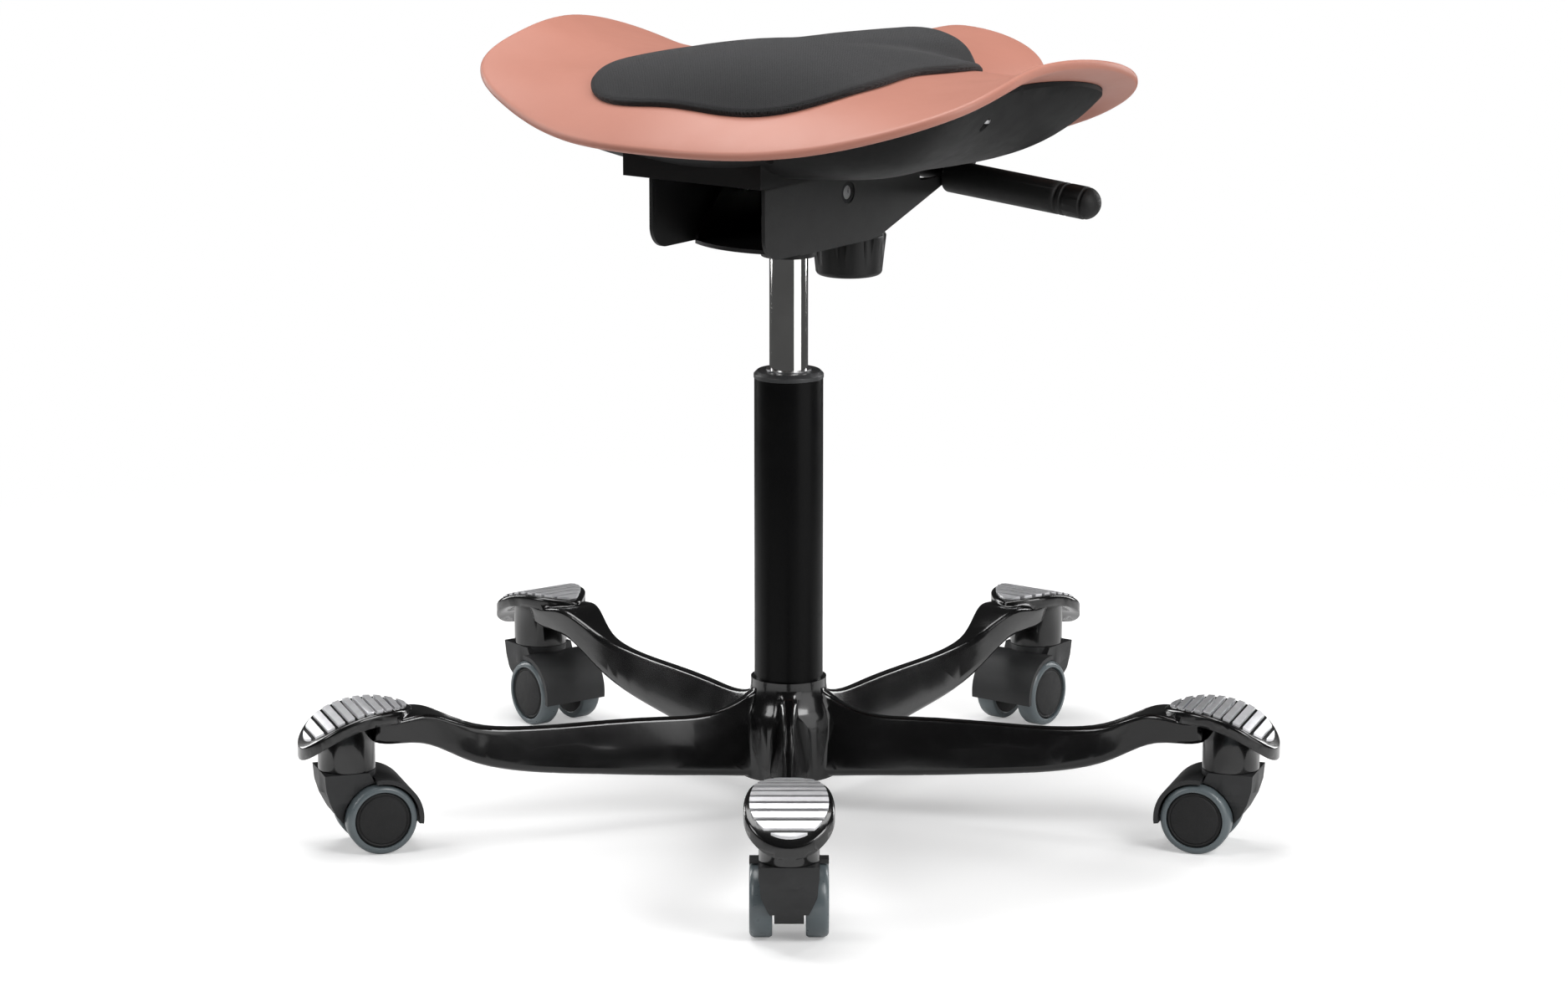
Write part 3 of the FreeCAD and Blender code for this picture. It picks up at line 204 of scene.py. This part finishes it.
# Woven cover: over and under threads in the pad's own UV map, mottled yarn and soft fuzz
def wovenCloth(name, look):
    material, tree, shader = newFinish(name)
    place = placeOf(tree, (1, 1, 1), "UV")
    warp = addNode(tree, "ShaderNodeTexWave", wave_type="BANDS", bands_direction="X",
                   wave_profile="SIN", Distortion=0.6, Detail=1.0)
    weft = addNode(tree, "ShaderNodeTexWave", wave_type="BANDS", bands_direction="Y",
                   wave_profile="SIN", Distortion=0.6, Detail=1.0)
    for wave in (warp, weft):
        wave.inputs["Scale"].default_value = 1.0 / look["threadPitch"] / wavesPerUnit
        wave.inputs["Detail Scale"].default_value = 2.0
        tree.links.new(place, wave.inputs["Vector"])
    checker = addNode(tree, "ShaderNodeTexChecker")
    checker.inputs["Scale"].default_value = 1.0 / look["threadPitch"]
    tree.links.new(place, checker.inputs["Vector"])
    weave = addNode(tree, "ShaderNodeMix", data_type="FLOAT")
    tree.links.new(checker.outputs["Fac"], weave.inputs["Factor"])
    tree.links.new(warp.outputs["Fac"], weave.inputs[2])
    tree.links.new(weft.outputs["Fac"], weave.inputs[3])
    yarn = noiseOf(tree, place, look["yarnSize"], 4, 0.7)
    blend = addNode(tree, "ShaderNodeMath", operation="MULTIPLY")
    tree.links.new(weave.outputs[0], blend.inputs[0])
    tree.links.new(rangeOf(tree, yarn, 0.35, 1.25), blend.inputs[1])
    colour = colourBetween(tree, blend.outputs[0], look["dark"], look["light"])
    tree.links.new(colour, shader.inputs["Base Color"])
    fuzz = noiseOf(tree, place, look["threadPitch"] * 0.5, 3, 0.8)
    normal = bumpOf(tree, weave.outputs[0], look["threadDepth"])
    normal = bumpOf(tree, fuzz, look["threadDepth"] * 0.5, 1.0, normal)
    tree.links.new(normal, shader.inputs["Normal"])
    shader.inputs["Roughness"].default_value = 0.9
    shader.inputs["Specular IOR Level"].default_value = 0.2
    shader.inputs["Sheen Weight"].default_value = look["sheen"]
    shader.inputs["Sheen Roughness"].default_value = 0.4
    shader.inputs["Sheen Tint"].default_value = (*look["sheenTint"], 1)
    return material


finishes = {
    "shell": mouldedPlastic("terracottaShell", {
        "colour": (0.520, 0.222, 0.165), "variation": 0.03, "cloudSize": 0.09, "roughness": 0.46,
        "grainSize": 0.0009, "grainDepth": 0.00002, "specular": 0.5, "sheen": 0.0}),
    "blackMould": mouldedPlastic("blackMouldedPlastic", {
        "colour": (0.006, 0.006, 0.0062), "variation": 0.15, "cloudSize": 0.04, "roughness": 0.55,
        "grainSize": 0.0008, "grainDepth": 0.00004, "specular": 0.2}),
    "knob": mouldedPlastic("blackKnobPlastic", {
        "colour": (0.006, 0.006, 0.0062), "variation": 0.15, "cloudSize": 0.02, "roughness": 0.42,
        "grainSize": 0.0007, "grainDepth": 0.00003, "specular": 0.4}),
    "grip": mouldedPlastic("softBlackGrip", {
        "colour": (0.007, 0.007, 0.007), "variation": 0.12, "cloudSize": 0.03, "roughness": 0.58,
        "grainSize": 0.0006, "grainDepth": 0.00004, "specular": 0.4}),
    "collar": mouldedPlastic("collarPlastic", {
        "colour": (0.035, 0.036, 0.038), "variation": 0.1, "cloudSize": 0.02, "roughness": 0.4,
        "grainSize": 0.0006, "grainDepth": 0.00003, "specular": 0.5}),
    "nylon": mouldedPlastic("casterNylon", {
        "colour": (0.022, 0.0225, 0.0235), "variation": 0.12, "cloudSize": 0.02, "roughness": 0.5,
        "grainSize": 0.0007, "grainDepth": 0.00004, "specular": 0.45}),
    "disc": mouldedPlastic("wheelDiscNylon", {
        "colour": (0.014, 0.014, 0.0145), "variation": 0.1, "cloudSize": 0.01, "roughness": 0.6,
        "grainSize": 0.0007, "grainDepth": 0.00005, "specular": 0.35}),
    "tread": mouldedPlastic("softTread", {
        "colour": (0.105, 0.128, 0.138), "variation": 0.06, "cloudSize": 0.015, "roughness": 0.3,
        "grainSize": 0.0012, "grainDepth": 0.00002, "specular": 0.6}),
    "powder": paintedMetal("blackPowderCoat", {
        "colour": (0.006, 0.006, 0.0062), "cloudSize": 0.05, "roughness": 0.5, "peelSize": 0.0012,
        "peelDepth": 0.00004, "specular": 0.4, "coat": 0.0, "coatRoughness": 0.3}),
    "tube": paintedMetal("satinBlackTube", {
        "colour": (0.002, 0.002, 0.0022), "cloudSize": 0.06, "roughness": 0.3, "peelSize": 0.002,
        "peelDepth": 0.00002, "specular": 0.12, "coat": 0.0, "coatRoughness": 0.2}),
    "glossBlack": paintedMetal("glossBlackCasting", {
        "colour": (0.003, 0.003, 0.0032), "cloudSize": 0.08, "roughness": 0.2, "peelSize": 0.004,
        "peelDepth": 0.00003, "specular": 0.5, "coat": 0.6, "coatRoughness": 0.08}),
    "ribs": bareMetal("satinRibs", {
        "colour": (0.86, 0.86, 0.88), "stretch": (1, 1, 1), "strokeSize": 0.0008,
        "stainSize": 0.01, "roughness": 0.45, "strokeDepth": 0.00002}),
    "steel": bareMetal("zincSteel", {
        "colour": (0.50, 0.50, 0.51), "stretch": (1, 1, 0.15), "strokeSize": 0.001,
        "stainSize": 0.01, "roughness": 0.3, "strokeDepth": 0.00001}),
    "chrome": bareMetal("chromeCylinder", {
        "colour": (0.80, 0.795, 0.78), "stretch": (1, 1, 0.03), "strokeSize": 0.002,
        "stainSize": 0.03, "roughness": 0.07, "strokeDepth": 0.000002}),
    "cloth": wovenCloth("charcoalCloth", {
        "dark": (0.005, 0.005, 0.0055), "light": (0.042, 0.042, 0.043), "threadPitch": 0.0009,
        "threadDepth": 0.0002, "yarnSize": 0.0022, "sheen": 0.25, "sheenTint": (0.6, 0.6, 0.62)}),
}
print("finishes:", len(finishes))


# Mesh helpers

def pieceFrom(mesh, name, finish, body, replaced=()):
    data = bpy.data.meshes.new(name)
    mesh.to_mesh(data)
    mesh.free()
    data.materials.clear()
    data.materials.append(finishes[finish])
    piece = bpy.data.objects.new(name, data)
    bpy.context.scene.collection.objects.link(piece)
    if body is not None:
        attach(piece, body)
    if replaced:
        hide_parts(*replaced)
    return piece


def smoothUpTo(piece, degrees):
    piece.data.shade_smooth()
    piece.data.set_sharp_from_angle(angle=math.radians(degrees))


bevelLook = {"segments": 2, "above": 32}


def softenEdges(piece, width):
    bevel = piece.modifiers.new("edges", "BEVEL")
    bevel.width = width
    bevel.segments = bevelLook["segments"]
    bevel.limit_method = "ANGLE"
    bevel.angle_limit = math.radians(bevelLook["above"])
    bevel.use_clamp_overlap = True
    bevel.harden_normals = True


# A CAD piece with its loose triangles joined, flat faces merged and its edges softened
def dressed(node, name, finish, edge=0.0, sharpest=35, flatten=True, rides=True):
    mesh = bmesh.new()
    mesh.from_mesh(nodes[node].data)
    bmesh.ops.remove_doubles(mesh, verts=mesh.verts, dist=mergeDistance)
    if flatten:
        bmesh.ops.dissolve_limit(mesh, angle_limit=math.radians(flatWithin), verts=mesh.verts,
                                 edges=mesh.edges, delimit=set())
    body = bodyOfNode[node] if rides else None
    piece = pieceFrom(mesh, name, finish, body, (node,))
    smoothUpTo(piece, sharpest)
    if edge > 0:
        softenEdges(piece, edge)
    return piece


# Seat shell and what hangs under it

dressed("seat_shell", "seatShell", "shell", 0, 50, False)
dressed("under_tray", "underTray", "blackMould", 0.5 * millimetre)
dressed("tray_screws", "trayScrews", "steel", 0.2 * millimetre)
dressed("seat_bracket", "seatBracket", "powder", 0.5 * millimetre)
dressed("bracket_bolts", "bracketBolts", "steel", 0.3 * millimetre)
dressed("tilt_bushes", "tiltBushes", "blackMould", 0.2 * millimetre)
dressed("tilt_lock_loop", "tiltLockLoop", "glossBlack", 0.8 * millimetre)
print("seat done")

# Mechanism

dressed("lower_channel", "lowerChannel", "powder", 0.5 * millimetre)
dressed("tilt_pins", "tiltPins", "steel", 0.3 * millimetre)
dressed("cone_socket", "coneSocket", "powder", 0.4 * millimetre)
dressed("height_lever", "heightLever", "powder", 0, 50)
dressed("lever_grip", "leverGrip", "grip", 0, 40)
dressed("tension_knob", "tensionKnob", "knob", 0.8 * millimetre)
dressed("tension_plate", "tensionPlate", "steel", 0.3 * millimetre)

# The spring rides no body: its placing is baked into its mesh and it stays where it is in the
# mechanism
spring = dressed("tension_spring", "tensionSpring", "steel", 0, 60, True, False)
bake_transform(spring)
dressed("release_pin", "releasePin", "steel", 0.3 * millimetre)
print("mechanism done")

# Column

dressed("piston_rod", "pistonRod", "steel", 0.2 * millimetre)
dressed("thrust_bearing", "thrustBearing", "steel", 0, 40)
dressed("gas_cylinder", "gasCylinder", "chrome", 0, 30)
dressed("column_tube", "columnTube", "tube", 0.4 * millimetre)
dressed("guide_bush", "guideBush", "steel", 0.3 * millimetre)
dressed("column_collar", "columnCollar", "collar", 0.4 * millimetre)
print("column done")

# Base

dressed("star_base", "starBase", "glossBlack", 0, 35)
dressed("foot_ribs", "footRibs", "ribs", 0.6 * millimetre)
print("base done")

# Casters

for number in range(1, casterCount + 1):
    caster = "caster_%d" % number
    title = "caster%d" % number
    dressed(caster + "_housing", title + "Housing", "nylon", 0.5 * millimetre)
    dressed(caster + "_stem", title + "Stem", "steel", 0.3 * millimetre)
    dressed(caster + "_axle", title + "Axle", "steel", 0.3 * millimetre)
    for side in sides:
        wheel = title + "Wheel" + side.title()
        tread = title + "Tread" + side.title()
        dressed("%s_wheel_%s" % (caster, side), wheel, "disc", 0.2 * millimetre)
        dressed("%s_tread_%s" % (caster, side), tread, "tread", 0.6 * millimetre)
print("casters done")

# Pad: its cover is laid over the solid's top, rolls over the edge and tucks in under it

padLook = {
    "steps": 180,
    "shares": (0.997, 0.992, 0.985, 0.976, 0.965, 0.95, 0.93, 0.9, 0.86, 0.8, 0.72, 0.62, 0.5, 0.36,
               0.2, 0.06),
    "fullness": 0.0004,
    "edgeProbe": 0.998,
    "wallSteps": 5,
    "tuck": 0.012,
    "underShares": (0.9, 0.7, 0.45, 0.2),
    "halvings": 22,
    "smoothBelow": 60,
}


def surfaceOf(node):
    mesh = bmesh.new()
    mesh.from_mesh(nodes[node].data)
    return BVHTree.FromBMesh(mesh)


def heightAt(surface, x, y, fromAbove=True):
    start = Vector((x, y, 1.0 if fromAbove else 0.0))
    hit = surface.ray_cast(start, Vector((0, 0, -1.0 if fromAbove else 1.0)))[0]
    return None if hit is None else hit.z


def outlineReach(surface, angle, most=0.3):
    near, far = 0.0, most
    for halving in range(padLook["halvings"]):
        middle = (near + far) / 2
        if heightAt(surface, middle * math.cos(angle), middle * math.sin(angle)) is None:
            far = middle
        else:
            near = middle
    return near


def makePad():
    surface = surfaceOf("seat_pad")
    mesh = bmesh.new()
    ring = bmesh.ops.create_circle(mesh, segments=padLook["steps"], radius=1,
                                   cap_ends=False)["verts"]
    angles = {vertex: math.atan2(vertex.co.y, vertex.co.x) for vertex in ring}
    reaches = {vertex: outlineReach(surface, angles[vertex]) for vertex in ring}

    def nextRing(verts):
        edges = list({edge for vertex in verts for edge in vertex.link_edges
                      if edge.other_vert(vertex) in verts})
        made = bmesh.ops.extrude_edge_only(mesh, edges=edges)["geom"]
        fresh = [item for item in made if isinstance(item, bmesh.types.BMVert)]
        for vertex in fresh:
            old = [edge.other_vert(vertex) for edge in vertex.link_edges
                   if edge.other_vert(vertex) in verts][0]
            angles[vertex] = angles[old]
            reaches[vertex] = reaches[old]
        return set(fresh)

    def place(vertex, share, height):
        reach = reaches[vertex] * share
        vertex.co = (reach * math.cos(angles[vertex]), reach * math.sin(angles[vertex]), height)

    def span(vertex, share):
        x = reaches[vertex] * share * math.cos(angles[vertex])
        y = reaches[vertex] * share * math.sin(angles[vertex])
        return heightAt(surface, x, y, False), heightAt(surface, x, y, True)

    shoulder = set(ring)
    walls = {vertex: span(vertex, padLook["edgeProbe"]) for vertex in shoulder}
    for vertex in shoulder:
        place(vertex, 1.0, walls[vertex][1])

    # The cover runs inward over the top
    inner = shoulder
    for share in padLook["shares"]:
        inner = nextRing(inner)
        for vertex in inner:
            swell = padLook["fullness"] * (1 - share ** 6)
            place(vertex, share, span(vertex, share)[1] + swell)
    bmesh.ops.contextual_create(mesh, geom=list(inner))

    # Its wall runs down to the shell, drawn in towards the foot
    outer = shoulder
    for step in range(1, padLook["wallSteps"] + 1):
        part = step / padLook["wallSteps"]
        earlier = outer
        outer = nextRing(earlier)
        for vertex in outer:
            low, high = span(vertex, padLook["edgeProbe"])
            place(vertex, 1.0 - padLook["tuck"] * part ** 3, high + (low - high) * part)
    bottom = outer
    for share in padLook["underShares"]:
        bottom = nextRing(bottom)
        for vertex in bottom:
            place(vertex, share, span(vertex, share)[0])
    bmesh.ops.contextual_create(mesh, geom=list(bottom))
    bmesh.ops.triangulate(mesh, faces=[face for face in mesh.faces if len(face.verts) > 4])
    bmesh.ops.recalc_face_normals(mesh, faces=mesh.faces)
    cover = mesh.loops.layers.uv.new("cover")
    for face in mesh.faces:
        for loop in face.loops:
            loop[cover].uv = (loop.vert.co.x, loop.vert.co.y)
    piece = pieceFrom(mesh, "seatPad", "cloth", "seat", ("seat_pad",))
    smoothUpTo(piece, padLook["smoothBelow"])


makePad()
print("pad done")


# Studio: white floor and backdrop, soft lights and the photograph's camera

studio = {
    "floorSize": 8.0,
    "floorColour": (0.80, 0.80, 0.80),
    "floorLift": 0.30,
    "shadowReach": 0.55,
    "whiteFrom": 1.3,
    "mirroredShare": 0.08,
    "air": 0.04,
    "cameraPlace": (-0.0034, -3.47645, 0.9962),
    "cameraPitch": 77.68,
    "focalLength": 112.54,
}


# White floor: lit near the stool so that it keeps the shadow, and plain white further out
def studioSurface():
    material, tree, shader = newFinish("paleFloor")
    shader.inputs["Roughness"].default_value = 0.8
    shader.inputs["Specular IOR Level"].default_value = 0.0
    coordinates = tree.nodes.new("ShaderNodeTexCoord")
    distance = addNode(tree, "ShaderNodeVectorMath", operation="LENGTH")
    tree.links.new(coordinates.outputs["Object"], distance.inputs[0])
    fade = addNode(tree, "ShaderNodeMapRange", interpolation_type="SMOOTHSTEP")
    fade.inputs["From Min"].default_value = studio["shadowReach"]
    fade.inputs["From Max"].default_value = studio["whiteFrom"]
    tree.links.new(distance.outputs["Value"], fade.inputs["Value"])
    colour = colourBetween(tree, fade.outputs["Result"], studio["floorColour"], (0, 0, 0))
    tree.links.new(colour, shader.inputs["Base Color"])
    lift = addNode(tree, "ShaderNodeMapRange")
    lift.inputs["To Min"].default_value = studio["floorLift"]
    lift.inputs["To Max"].default_value = 1.0
    tree.links.new(fade.outputs["Result"], lift.inputs["Value"])
    rays = tree.nodes.new("ShaderNodeLightPath")
    mirrored = addNode(tree, "ShaderNodeMath", operation="MULTIPLY")
    mirrored.inputs[1].default_value = studio["mirroredShare"]
    tree.links.new(rays.outputs["Is Glossy Ray"], mirrored.inputs[0])
    seen = addNode(tree, "ShaderNodeMath", operation="MAXIMUM")
    tree.links.new(rays.outputs["Is Camera Ray"], seen.inputs[0])
    tree.links.new(mirrored.outputs[0], seen.inputs[1])
    strength = addNode(tree, "ShaderNodeMath", operation="MULTIPLY")
    tree.links.new(seen.outputs[0], strength.inputs[0])
    tree.links.new(lift.outputs["Result"], strength.inputs[1])
    shader.inputs["Emission Color"].default_value = (1, 1, 1, 1)
    tree.links.new(strength.outputs[0], shader.inputs["Emission Strength"])
    return material


def makeFloor():
    mesh = bmesh.new()
    bmesh.ops.create_grid(mesh, x_segments=1, y_segments=1, size=studio["floorSize"] / 2)
    data = bpy.data.meshes.new("floor")
    mesh.to_mesh(data)
    mesh.free()
    data.materials.append(studioSurface())
    floor = bpy.data.objects.new("floor", data)
    bpy.context.scene.collection.objects.link(floor)


def softBox(name, place, target, width, height, power):
    data = bpy.data.lights.new(name, "AREA")
    data.shape = "RECTANGLE"
    data.size = width
    data.size_y = height
    data.energy = power
    lamp = bpy.data.objects.new(name, data)
    lamp.location = place
    lamp.rotation_euler = (Vector(target) - Vector(place)).to_track_quat("-Z", "Y").to_euler()
    bpy.context.scene.collection.objects.link(lamp)
    return lamp


def makeWorld():
    world = bpy.data.worlds.new("studioAir")
    bpy.context.scene.world = world
    world.use_nodes = True
    tree = world.node_tree
    background = tree.nodes["Background"]
    rays = tree.nodes.new("ShaderNodeLightPath")
    mix = addNode(tree, "ShaderNodeMix", data_type="FLOAT")
    mix.inputs[2].default_value = studio["air"]
    mix.inputs[3].default_value = 1.0
    tree.links.new(rays.outputs["Is Camera Ray"], mix.inputs["Factor"])
    background.inputs["Color"].default_value = (1, 1, 1, 1)
    tree.links.new(mix.outputs[0], background.inputs["Strength"])


def makeCamera():
    data = bpy.data.cameras.new("camera")
    data.sensor_width = 36
    data.sensor_fit = "HORIZONTAL"
    data.lens = studio["focalLength"]
    data.clip_end = 50
    camera = bpy.data.objects.new("camera", data)
    camera.location = studio["cameraPlace"]
    camera.rotation_euler = (math.radians(studio["cameraPitch"]), 0, 0)
    bpy.context.scene.collection.objects.link(camera)
    bpy.context.scene.camera = camera


makeFloor()
makeWorld()
makeCamera()
softBox("keyBox", (1.5, -1.7, 1.8), (0, 0, 0.4), 1.1, 1.1, 34)
softBox("fillBox", (-1.9, -1.3, 1.5), (0, 0, 0.4), 0.8, 1.2, 16)
softBox("topBox", (-0.3, 0.2, 2.3), (0, 0, 0.4), 1.5, 1.5, 38)
softBox("chromeBox", (0.95, -0.67, 0.36), (0, 0, 0.36), 1.0, 0.7, 3.2)
softBox("leftRim", (-1.6, 1.1, 0.8), (0, 0, 0.35), 0.35, 1.5, 14)
softBox("rightRim", (1.6, 1.1, 0.8), (0, 0, 0.35), 0.35, 1.5, 14)
bpy.context.scene.view_settings.view_transform = "Standard"
print("studio done")
